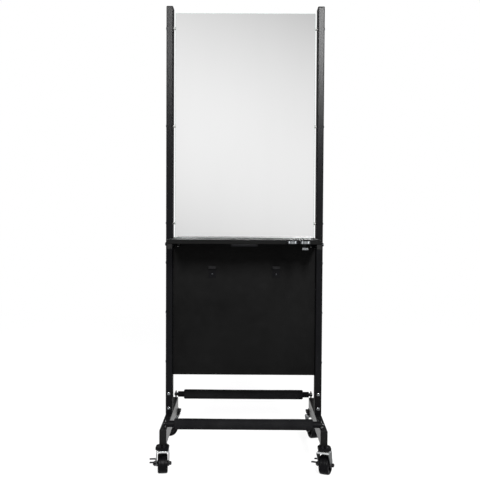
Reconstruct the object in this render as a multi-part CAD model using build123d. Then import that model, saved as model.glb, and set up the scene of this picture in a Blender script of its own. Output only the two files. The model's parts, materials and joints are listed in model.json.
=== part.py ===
from build123d import *
import os

# Mobile double sided salon station. Millimetres, origin on the floor under the middle of the frame,
# X across the station, Y from the front side to the rear side, Z up. The rear side repeats the front
# side turned half way round the Z axis.

# Frame tubes
overall_height = 1835.0
frame_width = 640.0
post_width = 27.0
post_depth = 60.0
post_wall = 2.0
foot_width = 27.0
foot_height = 60.0
foot_wall = 2.5
foot_length = 520.0
tube_corner = 4.0
tube_inner_corner = 1.5
stub_height = 110.0
stub_wall = 3.0
stub_clearance = 0.25
post_bolt_first = 24.0
post_bolt_pitch = 60.0

# End caps of the tubes
post_cap_flange = 5.0
foot_cap_flange = 4.0
arm_cap_flange = 3.0
cap_plug_depth = 16.0
cap_plug_wall = 2.0
cap_plug_clearance = 0.2
cap_chamfer = 1.5

# Shelves and the square arms under them
shelf_top = 898.0
shelf_thickness = 16.0
shelf_reach = 256.0
shelf_side_gap = 1.0
shelf_back_gap = 0.5
shelf_edge_chamfer = 1.0
arm_size = 20.0
arm_wall = 1.5
arm_corner = 2.5
arm_inner_corner = 1.0
arm_setback = 4.0
arm_bolt_pitch = 36.0
shelf_screw_first = 80.0
shelf_screw_pitch = 120.0

# Centre panel between the posts
panel_thickness = 18.0
panel_bottom = 333.0
panel_notch_clearance = 0.5
panel_bolt_lowest = 385.0
panel_bolt_pitch = 205.0
panel_bolt_count = 3

# Mirrors, back to back on one board
mirror_top_inset = 24.0
mirror_thickness = 4.0
mirror_side_gap = 9.0
backing_thickness = 12.0
mirror_bolt_inset = 60.0
mirror_bolt_count = 3
mirror_spacer_radius = 5.5

# Hooks on the panel
hook_spacing = 262.0
hook_width = 30.0
hook_thickness = 2.0
hook_below_shelf = 127.0
hook_lip_rise = 12.0
hook_screw_drop = 22.0
hook_plate_end = 15.0
hook_reach = 17.0
hook_bend_radius = 3.0
hook_screw_depth = 7.0

# Strip metal of the grips and tool holders
trim_thickness = 2.0

# Grip strip under a shelf's front edge
grip_width = 98.0
grip_depth = 30.0
grip_drop = 9.0
grip_bend_radius = 2.5
grip_screw_pitch = 70.0

# Chrome tool holder on a shelf's front edge
holder_middle = 203.0
holder_plate_width = 84.0
holder_plate_height = 12.0
tool_ring_pitch = 48.0
tool_ring_bore = 18.0
tool_ring_wall = 2.0
tool_ring_height = 9.0
lower_ring_bore = 11.0
lower_ring_height = 7.0
lower_ring_drop = 24.0
ring_neck_width = 10.0
ring_neck_length = 3.0
holder_screw_pitch = 66.0

# Footrest bars on lugs
footrest_offset = 240.0
footrest_rise = 18.0
footrest_radius = 12.5
footrest_wall = 2.0
footrest_end_wall = 20.0
foam_radius = 21.0
foam_length = 530.0
foam_clearance = 0.3
foam_end_chamfer = 4.0
lug_thickness = 5.0
lug_inset = 5.5
lug_radius = 15.0
footrest_spacer_length = 7.0
footrest_spacer_radius = 7.0

# Casters
caster_height = 109.0
caster_inset = 2.0
pad_width = 50.0
pad_reach = 34.0
pad_tail_width = 28.0
pad_thickness = 5.0
pad_corner = 8.0
plate_thickness = 3.0
plate_bolt_pitch_x = 15.0
plate_bolt_pitch_y = 54.0
cup_radius = 22.0
cup_wall = 2.5
cup_height = 8.0
race_thickness = 3.0
race_inner_radius = 9.0
bearing_inner_radius = 11.0
bearing_outer_radius = 18.0
bearing_clearance = 0.1
kingpin_radius = 5.0
kingpin_head_radius = 9.0
kingpin_head_height = 3.5
kingpin_play = 0.2
crown_gap = 1.0
crown_thickness = 6.0
crown_depth = 42.0
crown_chamfer = 4.0
fork_width = 50.0
fork_leg = 3.0
fork_boss_radius = 11.0
wheel_trail = 24.0
wheel_diameter = 75.0
tyre_width = 38.0
tyre_depth = 9.5
tyre_chamfer = 5.0
hub_rim_wall = 4.0
hub_rim_width = 34.0
hub_web = 12.0
hub_core_radius = 11.0
hub_side_gap = 0.4
axle_radius = 4.0
axle_cap_radius = 7.5
axle_cap_length = 9.0
axle_cap_chamfer = 2.5
axle_head_radius = 6.5
axle_head_length = 3.5
lever_side_gap = 0.4
lever_thickness = 3.0
lever_boss_radius = 9.5
lever_boss_length = 8.0
lever_tab_reach = 50.0
lever_tab_spread = 21.0
lever_tab_width = 12.0
lever_tab_thickness = 2.5
lever_tab_rise = 12.5
lever_notch_radius = 11.0
running_clearance = 0.05

# Swivel angle of each caster as it stands, in degrees about +Z from a wheel that trails to the rear
caster_turns = {
    "front_left": 7.0,
    "front_right": -22.0,
    "rear_left": 86.0,
    "rear_right": 196.34,
}

# Fasteners
m8_radius = 4.0
m8_head_radius = 7.0
m8_head_height = 4.4
m8_nut_radius = 7.5
m8_nut_height = 6.5
m8_end = 3.0
m6_radius = 3.0
m6_head_radius = 5.75
m6_head_height = 4.0
m6_nut_radius = 5.75
m6_nut_height = 5.0
m6_end = 2.0
screw_radius = 2.0
screw_head_radius = 4.0
screw_head_height = 2.4
screw_depth = 11.0
head_taper = 1.0
edge_bolt_depth = 45.0
hole_clearance = 0.05
bolt_hole_clearance = 0.25
hex_sides = 6

# Places worked out from the sizes above
frame_half = frame_width / 2
post_x = frame_half - post_width / 2
inner_half = frame_half - post_width
foot_bottom = caster_height + pad_thickness
foot_top = foot_bottom + foot_height
foot_middle = foot_bottom + foot_height / 2
post_top = overall_height - post_cap_flange
shelf_under = shelf_top - shelf_thickness
arm_x = inner_half - arm_size / 2
arm_z = shelf_under - arm_size / 2
arm_half_length = shelf_reach - arm_setback
mirror_top = overall_height - mirror_top_inset
mirror_face = backing_thickness / 2 + mirror_thickness
hook_shelf_height = shelf_top - hook_below_shelf
hook_lip_top = hook_shelf_height + hook_lip_rise
hook_screw_height = hook_shelf_height - hook_screw_drop
hook_bottom = hook_screw_height - hook_plate_end
mirror_width = 2 * (inner_half - mirror_side_gap)
footrest_z = foot_top + footrest_rise
lug_inner = inner_half + lug_inset
footrest_half = lug_inner - footrest_spacer_length
caster_y = foot_length / 2 - caster_inset
plate_under = caster_height - plate_thickness
crown_top = plate_under - cup_height - crown_gap
crown_under = crown_top - crown_thickness
wheel_radius = wheel_diameter / 2
fork_half = fork_width / 2
fork_inner_half = fork_half - fork_leg
lever_face = fork_half + lever_side_gap
sides = (-1, 1)
standing = (Align.CENTER, Align.CENTER, Align.MIN)


def spread(first, pitch, count):
    """Evenly pitched places along one axis."""
    return [first + pitch * step for step in range(count)]


post_bolt_heights = spread(foot_top + post_bolt_first, post_bolt_pitch, 2)
panel_bolt_heights = spread(panel_bolt_lowest, panel_bolt_pitch, panel_bolt_count)
mirror_bolt_span = mirror_top - shelf_top - 2 * mirror_bolt_inset
mirror_bolt_heights = spread(
    shelf_top + mirror_bolt_inset, mirror_bolt_span / (mirror_bolt_count - 1), mirror_bolt_count
)
shelf_screw_places = spread(shelf_screw_first, shelf_screw_pitch, 2)


def rod_x(radius, length):
    return Rot(Y=90) * Cylinder(radius, length)


def rod_y(radius, length):
    return Rot(X=90) * Cylinder(radius, length)


def rear_of(front_piece):
    """The rear side's copy of a front piece: half a turn about Z."""
    return Rot(Z=180) * front_piece


def rect_tube(plane, width, height, wall, corner, inner_corner, length):
    """Hollow rectangular tube centred on the plane's origin, its length along the plane's normal."""
    outer = RectangleRounded(width, height, corner)
    bore = RectangleRounded(width - 2 * wall, height - 2 * wall, inner_corner)
    return extrude(plane * (outer - bore), amount=length / 2, both=True)


def tube_cap(width, height, corner, inner_corner, wall, flange):
    """Push-in tube cap: flange from z 0 upwards, hollow plug downwards."""
    rim = extrude(RectangleRounded(width, height, corner), amount=flange)
    rim = chamfer(rim.faces().sort_by(Axis.Z)[-1].edges(), cap_chamfer)
    plug_width = width - 2 * (wall + cap_plug_clearance)
    plug_height = height - 2 * (wall + cap_plug_clearance)
    plug = RectangleRounded(plug_width, plug_height, inner_corner)
    plug -= Rectangle(plug_width - 2 * cap_plug_wall, plug_height - 2 * cap_plug_wall)
    return rim + extrude(plug, amount=-cap_plug_depth)


def bolt(radius, length, head_radius, head_height):
    """Round headed bolt: head from z 0 upwards, shank downwards."""
    head = Cone(head_radius, head_radius - head_taper, head_height, align=standing)
    return head + Pos(Z=-length / 2) * Cylinder(radius, length)


def hex_nut(radius, outer_radius, height):
    """Hexagon nut standing on z 0."""
    ring = RegularPolygon(outer_radius, hex_sides) - Circle(radius + hole_clearance)
    return extrude(ring, amount=height)


def wood_screw(depth):
    return bolt(screw_radius, depth, screw_head_radius, screw_head_height)


# Frame

def post(side):
    """One upright tube with its cross holes."""
    length = post_top - foot_top
    tube = rect_tube(
        Plane.XY, post_width, post_depth, post_wall, tube_corner, tube_inner_corner, length
    )
    tube = Pos(side * post_x, 0, foot_top + length / 2) * tube
    for z in post_bolt_heights:
        tube -= Pos(side * post_x, 0, z) * rod_y(m8_radius + bolt_hole_clearance, 2 * post_depth)
    for y in sides:
        hole = rod_x(m8_radius + bolt_hole_clearance, 2 * post_width)
        tube -= Pos(side * post_x, y * arm_bolt_pitch / 2, arm_z) * hole
    for z in panel_bolt_heights + mirror_bolt_heights:
        tube -= Pos(side * post_x, 0, z) * rod_x(m6_radius + bolt_hole_clearance, 2 * post_width)
    return tube


def post_caps():
    cap = tube_cap(
        post_width, post_depth, tube_corner, tube_inner_corner, post_wall, post_cap_flange
    )
    return [Pos(side * post_x, 0, post_top) * cap for side in sides]


def plate_bolt_places():
    """Bolt places of one caster plate about its own middle."""
    for x in sides:
        for y in sides:
            yield x * plate_bolt_pitch_x / 2, y * plate_bolt_pitch_y / 2


def pad_outline(end):
    """Outline of a caster's pad and plate: full width past the foot's end, a narrow tail under it."""
    outline = RectangleRounded(pad_width, 2 * pad_reach, pad_corner)
    outline -= Pos(Y=-end * pad_reach / 2) * Rectangle(pad_width, pad_reach)
    outline += Circle(pad_width / 2)
    outline += Pos(Y=-end * pad_reach / 2) * Rectangle(pad_tail_width, pad_reach)
    return outline


def beyond_foot(y):
    """Whether a place along the foot lies past its end, where a nut is in reach."""
    return abs(y) > foot_length / 2


def caster_middles():
    """Name, x and y of each swivel axis."""
    for name in caster_turns:
        y = -caster_y if name.startswith("front") else caster_y
        x = -post_x if name.endswith("left") else post_x
        yield name, x, y


def foot(side):
    """Foot weldment: tube, post stub, footrest lugs and the pads that carry the casters."""
    tube = rect_tube(
        Plane.XZ, foot_width, foot_height, foot_wall, tube_corner, tube_inner_corner,
        foot_length - 2 * foot_cap_flange,
    )
    body = Pos(side * post_x, 0, foot_middle) * tube
    stub_gap = post_wall + stub_clearance
    stub = rect_tube(
        Plane.XY, post_width - 2 * stub_gap, post_depth - 2 * stub_gap, stub_wall,
        tube_inner_corner, tube_inner_corner / 2, stub_height,
    )
    body += Pos(side * post_x, 0, foot_top + stub_height / 2) * stub
    for end in sides:
        body += Pos(0, end * footrest_offset, 0) * footrest_lug(side)
        pad = extrude(pad_outline(end), amount=pad_thickness)
        body += Pos(side * post_x, end * caster_y, caster_height) * pad
        for dx, dy in plate_bolt_places():
            y = end * caster_y + dy
            clearance = bolt_hole_clearance if beyond_foot(y) else hole_clearance
            hole = Cylinder(m6_radius + clearance, 2 * foot_wall + 2 * pad_thickness)
            body -= Pos(side * post_x + dx, y, foot_bottom) * hole
    for z in post_bolt_heights:
        body -= Pos(side * post_x, 0, z) * rod_y(m8_radius + bolt_hole_clearance, post_depth)
    return body


def footrest_lug(side):
    """Round topped lug for a footrest bar, standing on the foot."""
    outline = Pos(Y=footrest_rise) * Circle(lug_radius)
    outline += Pos(Y=footrest_rise / 2) * Rectangle(2 * lug_radius, footrest_rise)
    outline -= Pos(Y=footrest_rise) * Circle(m8_radius + bolt_hole_clearance)
    lug = extrude(Plane.YZ * outline, amount=lug_thickness / 2, both=True)
    return Pos(side * (lug_inner + lug_thickness / 2), 0, foot_top) * lug


def foot_caps():
    cap = tube_cap(
        foot_width, foot_height, tube_corner, tube_inner_corner, foot_wall, foot_cap_flange
    )
    end_y = foot_length / 2 - foot_cap_flange
    return [
        Pos(side * post_x, end * end_y, foot_middle) * Rot(X=-90 * end) * cap
        for side in sides
        for end in sides
    ]


def post_bolts():
    piece = bolt(m8_radius, post_depth + m8_nut_height, m8_head_radius, m8_head_height)
    return [
        Pos(side * post_x, -post_depth / 2, z) * Rot(X=90) * piece
        for side in sides
        for z in post_bolt_heights
    ]


def post_nuts():
    nut = hex_nut(m8_radius, m8_nut_radius, m8_nut_height)
    return [
        Pos(side * post_x, post_depth / 2, z) * Rot(X=-90) * nut
        for side in sides
        for z in post_bolt_heights
    ]


# Mirrors

def front_mirror():
    height = mirror_top - shelf_top
    middle_y = -(backing_thickness + mirror_thickness) / 2
    return Pos(0, middle_y, shelf_top + height / 2) * Box(mirror_width, mirror_thickness, height)


def mirror_backing():
    height = mirror_top - shelf_top
    board = Pos(Z=shelf_top + height / 2) * Box(mirror_width, backing_thickness, height)
    for side in sides:
        for z in mirror_bolt_heights:
            hole = rod_x(m6_radius + hole_clearance, 2 * edge_bolt_depth)
            board -= Pos(side * mirror_width / 2, 0, z) * hole
    return board


def mirror_spacers():
    ring = Circle(mirror_spacer_radius) - Circle(m6_radius + bolt_hole_clearance)
    spacer = extrude(Plane.YZ * ring, amount=mirror_side_gap / 2, both=True)
    return [
        Pos(side * (inner_half - mirror_side_gap / 2), 0, z) * spacer
        for side in sides
        for z in mirror_bolt_heights
    ]


def post_side_bolts(heights, gap):
    """Bolts from the posts' outer faces into the edge of a board that stands a gap inside the posts."""
    piece = bolt(m6_radius, post_width + gap + edge_bolt_depth, m6_head_radius, m6_head_height)
    return [
        Pos(side * frame_half, 0, z) * Rot(Y=90 * side) * piece
        for side in sides
        for z in heights
    ]


# Shelves and panel

def front_shelf():
    width = 2 * (inner_half - shelf_side_gap)
    back = mirror_face + shelf_back_gap
    depth = shelf_reach - back
    board = Pos(0, -back - depth / 2, shelf_under + shelf_thickness / 2)
    board = board * Box(width, depth, shelf_thickness)
    board = chamfer(board.faces().sort_by(Axis.Y)[0].edges(), shelf_edge_chamfer)
    for side in sides:
        for y in shelf_screw_places:
            hole = Cylinder(screw_radius + hole_clearance, 2 * screw_depth)
            board -= Pos(side * arm_x, -y, shelf_under) * hole
    for place in front_trim_screw_places():
        board -= place * Cylinder(screw_radius + hole_clearance, 2 * screw_depth)
    return board


def shelf_arm(side):
    """Square arm that runs past a post's inner face and carries both shelves."""
    arm = rect_tube(
        Plane.XZ, arm_size, arm_size, arm_wall, arm_corner, arm_inner_corner, 2 * arm_half_length
    )
    arm = Pos(side * arm_x, 0, arm_z) * arm
    for end in sides:
        hole = rod_x(m8_radius + bolt_hole_clearance, 2 * arm_size)
        arm -= Pos(side * arm_x, end * arm_bolt_pitch / 2, arm_z) * hole
        for y in shelf_screw_places:
            hole = Cylinder(screw_radius + bolt_hole_clearance, 2 * arm_size)
            arm -= Pos(side * arm_x, end * y, arm_z) * hole
    return arm


def arm_caps():
    cap = tube_cap(arm_size, arm_size, arm_corner, arm_inner_corner, arm_wall, arm_cap_flange)
    return [
        Pos(side * arm_x, end * arm_half_length, arm_z) * Rot(X=-90 * end) * cap
        for side in sides
        for end in sides
    ]


def arm_bolts():
    length = post_width + arm_size + m8_nut_height + m8_end
    piece = bolt(m8_radius, length, m8_head_radius, m8_head_height)
    return [
        Pos(side * frame_half, end * arm_bolt_pitch / 2, arm_z) * Rot(Y=90 * side) * piece
        for side in sides
        for end in sides
    ]


def arm_nuts():
    nut = hex_nut(m8_radius, m8_nut_radius, m8_nut_height)
    return [
        Pos(side * (arm_x - arm_size / 2), end * arm_bolt_pitch / 2, arm_z) * Rot(Y=-90 * side) * nut
        for side in sides
        for end in sides
    ]


def shelf_screws():
    piece = Rot(X=180) * wood_screw(arm_size + screw_depth)
    return [
        Pos(side * arm_x, end * y, arm_z - arm_size / 2) * piece
        for side in sides
        for end in sides
        for y in shelf_screw_places
    ]


def centre_panel():
    """Flat panel between the posts that the mirrors stand on, notched at its top corners for the arms."""
    height = shelf_top - panel_bottom
    board = Pos(Z=panel_bottom + height / 2) * Box(2 * inner_half, panel_thickness, height)
    notch_width = arm_size + panel_notch_clearance
    notch_height = shelf_thickness + notch_width
    for side in sides:
        notch = Box(2 * notch_width, 2 * panel_thickness, 2 * notch_height)
        board -= Pos(side * inner_half, 0, shelf_top) * notch
        for z in panel_bolt_heights:
            hole = rod_x(m6_radius + hole_clearance, 2 * edge_bolt_depth)
            board -= Pos(side * inner_half, 0, z) * hole
        for face in sides:
            hole = rod_y(screw_radius + hole_clearance, 2 * hook_screw_depth)
            board -= Pos(side * hook_spacing / 2, face * panel_thickness / 2, hook_screw_height) * hole
    return board


# Hooks, grips and tool holders

def front_trim_screw_places():
    """Places on the front shelf's own faces, local +Z outwards, of the holder's and grip's screws."""
    plate_z = shelf_under + shelf_thickness / 2
    for side in sides:
        yield Pos(holder_middle + side * holder_screw_pitch / 2, -shelf_reach, plate_z) * Rot(X=90)
        grip_y = -shelf_reach + grip_depth / 2
        yield Pos(side * grip_screw_pitch / 2, grip_y, shelf_under) * Rot(X=180)


def hooks():
    """Strip hooks: screwed plate, a shelf bent out of its top and an upturned lip."""
    inner = hook_thickness / 2
    line = FilletPolyline(
        (inner, hook_bottom),
        (inner, hook_shelf_height),
        (hook_reach - inner, hook_shelf_height),
        (hook_reach - inner, hook_lip_top),
        radius=hook_bend_radius,
    )
    profile = Plane.YZ * trace(line, hook_thickness)
    strip = extrude(profile, amount=hook_width / 2, both=True)
    strip -= Pos(Z=hook_screw_height) * rod_y(screw_radius + bolt_hole_clearance, 4 * hook_thickness)
    rear = Pos(Y=panel_thickness / 2) * strip
    pair = [Pos(X=side * hook_spacing / 2) * rear for side in sides]
    return [rear_of(piece) for piece in pair] + pair


def hook_screws():
    piece = wood_screw(hook_thickness + hook_screw_depth)
    front_y = -panel_thickness / 2 - hook_thickness
    front = [
        Pos(side * hook_spacing / 2, front_y, hook_screw_height) * Rot(X=90) * piece for side in sides
    ]
    return front + [rear_of(screw) for screw in front]


def shelf_grips():
    """Angle strips under the shelves' front edges, with a lip to curl the fingers behind."""
    half = trim_thickness / 2
    line = FilletPolyline(
        (-shelf_reach + grip_depth, shelf_under - half),
        (-shelf_reach + half, shelf_under - half),
        (-shelf_reach + half, shelf_under - grip_drop),
        radius=grip_bend_radius,
    )
    strip = extrude(Plane.YZ * trace(line, trim_thickness), amount=grip_width / 2, both=True)
    for side in sides:
        hole = Cylinder(screw_radius + bolt_hole_clearance, 4 * trim_thickness)
        strip -= Pos(side * grip_screw_pitch / 2, -shelf_reach + grip_depth / 2, shelf_under) * hole
    return [strip, rear_of(strip)]


def tool_ring(bore, height):
    """Flat strip ring about Z with a neck towards the shelf, ending on y 0."""
    radius = bore + tool_ring_wall
    middle_y = -ring_neck_length - radius
    outline = Pos(Y=middle_y) * Circle(radius)
    neck_length = ring_neck_length + radius
    outline += Pos(Y=-neck_length / 2) * Rectangle(ring_neck_width, neck_length)
    outline -= Pos(Y=middle_y) * Circle(bore)
    return extrude(outline, amount=height / 2, both=True)


def front_tool_holder():
    """Chrome holder: plate on the shelf's edge, two tool rings and a lower ring on a strap."""
    face_y = -shelf_reach - trim_thickness
    plate_z = shelf_under + shelf_thickness / 2
    plate = Box(holder_plate_width, trim_thickness, holder_plate_height)
    body = Pos(holder_middle, face_y + trim_thickness / 2, plate_z) * plate
    for side in sides:
        ring_x = holder_middle + side * tool_ring_pitch / 2
        body += Pos(ring_x, face_y, plate_z) * tool_ring(tool_ring_bore, tool_ring_height)
    strap_x = holder_middle + tool_ring_pitch / 2
    strap = Box(ring_neck_width, trim_thickness, lower_ring_drop + lower_ring_height / 2)
    strap_z = plate_z - (lower_ring_drop + lower_ring_height / 2) / 2
    body += Pos(strap_x, face_y + trim_thickness / 2, strap_z) * strap
    lower = tool_ring(lower_ring_bore, lower_ring_height)
    reach = tool_ring_bore - lower_ring_bore
    link = Box(ring_neck_width, reach, lower_ring_height)
    body += Pos(strap_x, face_y - reach / 2, plate_z - lower_ring_drop) * link
    body += Pos(strap_x, face_y - reach, plate_z - lower_ring_drop) * lower
    for side in sides:
        hole = rod_y(screw_radius + bolt_hole_clearance, 4 * trim_thickness)
        body -= Pos(holder_middle + side * holder_screw_pitch / 2, face_y, plate_z) * hole
    return body


def trim_screws():
    """Screws of the tool holders and grips, each seated on its strip."""
    piece = Pos(Z=trim_thickness) * wood_screw(trim_thickness + screw_depth)
    front = [place * piece for place in front_trim_screw_places()]
    return front + [rear_of(screw) for screw in front]


# Footrests

def footrest_tube():
    """Front bar: hollow between two closed ends that take the bolts."""
    bar = rod_x(footrest_radius, 2 * footrest_half)
    bar -= rod_x(footrest_radius - footrest_wall, 2 * (footrest_half - footrest_end_wall))
    bar -= rod_x(m8_radius + hole_clearance, 4 * footrest_half)
    return Pos(0, -footrest_offset, footrest_z) * bar


def footrest_foam():
    """Front foam sleeve with eased ends."""
    sleeve = rod_x(foam_radius, foam_length)
    ends = sleeve.faces().filter_by(GeomType.PLANE).edges()
    sleeve = chamfer(ends, foam_end_chamfer)
    sleeve -= rod_x(footrest_radius + foam_clearance, 2 * foam_length)
    return Pos(0, -footrest_offset, footrest_z) * sleeve


def footrest_spacers():
    ring = Circle(footrest_spacer_radius) - Circle(m8_radius + bolt_hole_clearance)
    spacer = extrude(Plane.YZ * ring, amount=footrest_spacer_length / 2, both=True)
    return [
        Pos(side * (lug_inner - footrest_spacer_length / 2), end * footrest_offset, footrest_z) * spacer
        for side in sides
        for end in sides
    ]


def footrest_bolts():
    length = lug_thickness + footrest_spacer_length + footrest_end_wall
    piece = bolt(m8_radius, length, m8_head_radius, m8_head_height)
    outer = lug_inner + lug_thickness
    return [
        Pos(side * outer, end * footrest_offset, footrest_z) * Rot(Y=90 * side) * piece
        for side in sides
        for end in sides
    ]


# Casters: fixed pieces

def caster_plates():
    """Top plates with the upper race and a skirt round the bearing."""
    plate = Pos(Z=plate_under) * extrude(pad_outline(-1), amount=plate_thickness)
    skirt = Circle(cup_radius) - Circle(cup_radius - cup_wall)
    plate += Pos(Z=plate_under) * extrude(skirt, amount=-cup_height)
    race = Circle(cup_radius - cup_wall / 2) - Circle(race_inner_radius)
    plate += Pos(Z=plate_under) * extrude(race, amount=-race_thickness)
    plate -= Pos(Z=caster_height) * Cylinder(kingpin_radius + hole_clearance, 4 * plate_thickness)
    for x, y in plate_bolt_places():
        hole = Cylinder(m6_radius + bolt_hole_clearance, 4 * plate_thickness)
        plate -= Pos(x, y, caster_height) * hole
    front = [Pos(side * post_x, -caster_y, 0) * plate for side in sides]
    return front + [rear_of(piece) for piece in front]


def caster_bolts():
    length = plate_thickness + pad_thickness + foot_wall + m6_nut_height + m6_end
    piece = Pos(Z=plate_under) * Rot(X=180) * bolt(m6_radius, length, m6_head_radius, m6_head_height)
    return [
        Pos(x + dx, y + dy, 0) * piece
        for _, x, y in caster_middles()
        for dx, dy in plate_bolt_places()
    ]


def caster_nuts():
    """Nuts on the pads past the feet's ends; the bolts under a foot are tapped into its pad."""
    nut = hex_nut(m6_radius, m6_nut_radius, m6_nut_height)
    return [
        Pos(x + dx, y + dy, foot_bottom) * nut
        for _, x, y in caster_middles()
        for dx, dy in plate_bolt_places()
        if beyond_foot(y + dy)
    ]


def kingpins():
    """Rivets from the plates through the fork crowns, headed underneath."""
    head_top = crown_under - kingpin_play
    length = caster_height - head_top
    pin = Pos(Z=head_top + length / 2) * Cylinder(kingpin_radius, length)
    pin += Pos(Z=head_top - kingpin_head_height / 2) * Cylinder(kingpin_head_radius, kingpin_head_height)
    return [Pos(x, y, 0) * pin for _, x, y in caster_middles()]


def swivel_bearings():
    """Thrust ring of each swivel, between the plate's race and the fork crown."""
    top = plate_under - race_thickness
    ring = Circle(bearing_outer_radius) - Circle(bearing_inner_radius)
    ring = extrude(ring, amount=top - crown_top - bearing_clearance)
    return [Pos(x, y, crown_top + bearing_clearance) * ring for _, x, y in caster_middles()]


# Casters: moving pieces, modelled about the swivel axis with the wheel trailing along +Y

def fork():
    """Pressed fork: crown and two tapering legs, one hull outline seen from the side."""
    crown = Pos(0, crown_under + crown_thickness / 2) * Rectangle(crown_depth, crown_thickness)
    boss = Pos(wheel_trail, wheel_radius) * Circle(fork_boss_radius)
    outline = make_hull(crown.edges() + boss.edges())
    body = extrude(Plane.YZ * outline, amount=fork_half, both=True)
    shoulders = body.edges().filter_by(Axis.Y).group_by(Axis.Z)[-1]
    body = chamfer(shoulders, crown_chamfer)
    gap_depth = 2 * (crown_depth + wheel_trail + fork_boss_radius)
    body -= Pos(Z=crown_under - crown_under / 2) * Box(2 * fork_inner_half, gap_depth, crown_under)
    body -= Pos(Z=crown_top) * Cylinder(kingpin_radius + running_clearance, 4 * crown_thickness)
    body -= wheel_axis() * rod_x(axle_radius + hole_clearance, 2 * fork_width)
    return body


def wheel_axis():
    return Pos(0, wheel_trail, wheel_radius)


def axle():
    """Axle with a domed cap on one side and a flat head that keeps the brake lever on the other."""
    lever_end = lever_face + lever_boss_length + lever_side_gap
    shaft = Pos(X=(fork_half - lever_end) / 2) * rod_x(axle_radius, fork_half + lever_end)
    cap = rod_x(axle_cap_radius, axle_cap_length)
    cap = chamfer(cap.faces().sort_by(Axis.X)[-1].edges(), axle_cap_chamfer)
    shaft += Pos(X=fork_half + axle_cap_length / 2) * cap
    shaft += Pos(X=-lever_end - axle_head_length / 2) * rod_x(axle_head_radius, axle_head_length)
    return wheel_axis() * shaft


def tyre():
    inner = wheel_radius - tyre_depth
    section = Pos(X=(inner + wheel_radius) / 2) * Rectangle(tyre_depth, tyre_width)
    section = chamfer(section.vertices().group_by(Axis.X)[-1], tyre_chamfer)
    return wheel_axis() * Rot(Y=90) * revolve(Plane.XZ * section, Axis.Z)


def hub():
    """Wheel centre: rim, web and core turned as one."""
    rim_radius = wheel_radius - tyre_depth - hole_clearance
    core_length = 2 * (fork_inner_half - hub_side_gap)
    rim = Pos(X=rim_radius - hub_rim_wall / 2) * Rectangle(hub_rim_wall, hub_rim_width)
    web = Pos(X=rim_radius / 2) * Rectangle(rim_radius, hub_web)
    core = Pos(X=hub_core_radius / 2) * Rectangle(hub_core_radius, core_length)
    section = rim + web + core
    bore = axle_radius + running_clearance
    section -= Rectangle(2 * bore, 2 * core_length)
    return wheel_axis() * Rot(Y=90) * revolve(Plane.XZ * section, Axis.Z)


def brake_lever():
    """Side brake rocker on the axle, with one foot tab each side of it."""
    tab_level = lever_tab_rise - lever_tab_thickness
    ends = Sketch()
    for side in sides:
        ends += Pos(side * lever_tab_spread, tab_level) * Rectangle(lever_tab_width, 2 * lever_tab_thickness)
    outline = make_hull((ends + Circle(lever_boss_radius)).edges())
    notch_level = lever_tab_rise + lever_notch_radius / 2
    outline -= Pos(0, notch_level) * Circle(lever_notch_radius)
    plate = Pos(X=-lever_face) * extrude(Plane.YZ * outline, amount=-lever_thickness)
    boss = rod_x(lever_boss_radius, lever_boss_length)
    plate += Pos(X=-lever_face - lever_boss_length / 2) * boss
    tab_length = lever_tab_reach - lever_face
    tab = Box(tab_length, lever_tab_width, lever_tab_thickness)
    for side in sides:
        tab_z = lever_tab_rise - lever_tab_thickness / 2
        plate += Pos(-lever_face - tab_length / 2, side * lever_tab_spread, tab_z) * tab
    plate -= rod_x(axle_radius + running_clearance, 4 * lever_tab_reach)
    return wheel_axis() * plate


def caster_moving_pieces():
    """Fork, axle, tyre, hub and brake lever of each caster, turned as it stands."""
    pieces = {"fork": fork(), "axle": axle(), "tyre": tyre(), "hub": hub(), "brake_lever": brake_lever()}
    for name, x, y in caster_middles():
        place = Pos(x, y, 0) * Rot(Z=caster_turns[name])
        for piece_name, piece in pieces.items():
            yield f"{name}_{piece_name}", place * piece


def station():
    """Every node of the station by name: one solid, or a list of separate solids."""
    nodes = {
        "left_post": post(-1),
        "right_post": post(1),
        "post_caps": post_caps(),
        "left_foot": foot(-1),
        "right_foot": foot(1),
        "foot_caps": foot_caps(),
        "post_bolts": post_bolts(),
        "post_nuts": post_nuts(),
        "front_mirror": front_mirror(),
        "rear_mirror": rear_of(front_mirror()),
        "mirror_backing": mirror_backing(),
        "mirror_spacers": mirror_spacers(),
        "mirror_bolts": post_side_bolts(mirror_bolt_heights, mirror_side_gap),
        "front_shelf": front_shelf(),
        "rear_shelf": rear_of(front_shelf()),
        "left_shelf_arm": shelf_arm(-1),
        "right_shelf_arm": shelf_arm(1),
        "arm_caps": arm_caps(),
        "arm_bolts": arm_bolts(),
        "arm_nuts": arm_nuts(),
        "shelf_screws": shelf_screws(),
        "centre_panel": centre_panel(),
        "panel_bolts": post_side_bolts(panel_bolt_heights, 0),
        "tool_hooks": hooks(),
        "hook_screws": hook_screws(),
        "shelf_grips": shelf_grips(),
        "front_tool_holder": front_tool_holder(),
        "rear_tool_holder": rear_of(front_tool_holder()),
        "trim_screws": trim_screws(),
        "front_footrest_tube": footrest_tube(),
        "rear_footrest_tube": rear_of(footrest_tube()),
        "front_footrest_foam": footrest_foam(),
        "rear_footrest_foam": rear_of(footrest_foam()),
        "footrest_spacers": footrest_spacers(),
        "footrest_bolts": footrest_bolts(),
        "caster_plates": caster_plates(),
        "caster_bolts": caster_bolts(),
        "caster_nuts": caster_nuts(),
        "kingpins": kingpins(),
        "swivel_bearings": swivel_bearings(),
    }
    nodes.update(caster_moving_pieces())
    return nodes


def main():
    os.makedirs("parts", exist_ok=True)
    for name, shape in station().items():
        piece = Compound(children=shape) if isinstance(shape, list) else shape
        export_step(piece, f"parts/{name}.step")


if __name__ == "__main__":
    main()
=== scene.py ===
"""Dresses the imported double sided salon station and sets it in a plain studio."""

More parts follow.
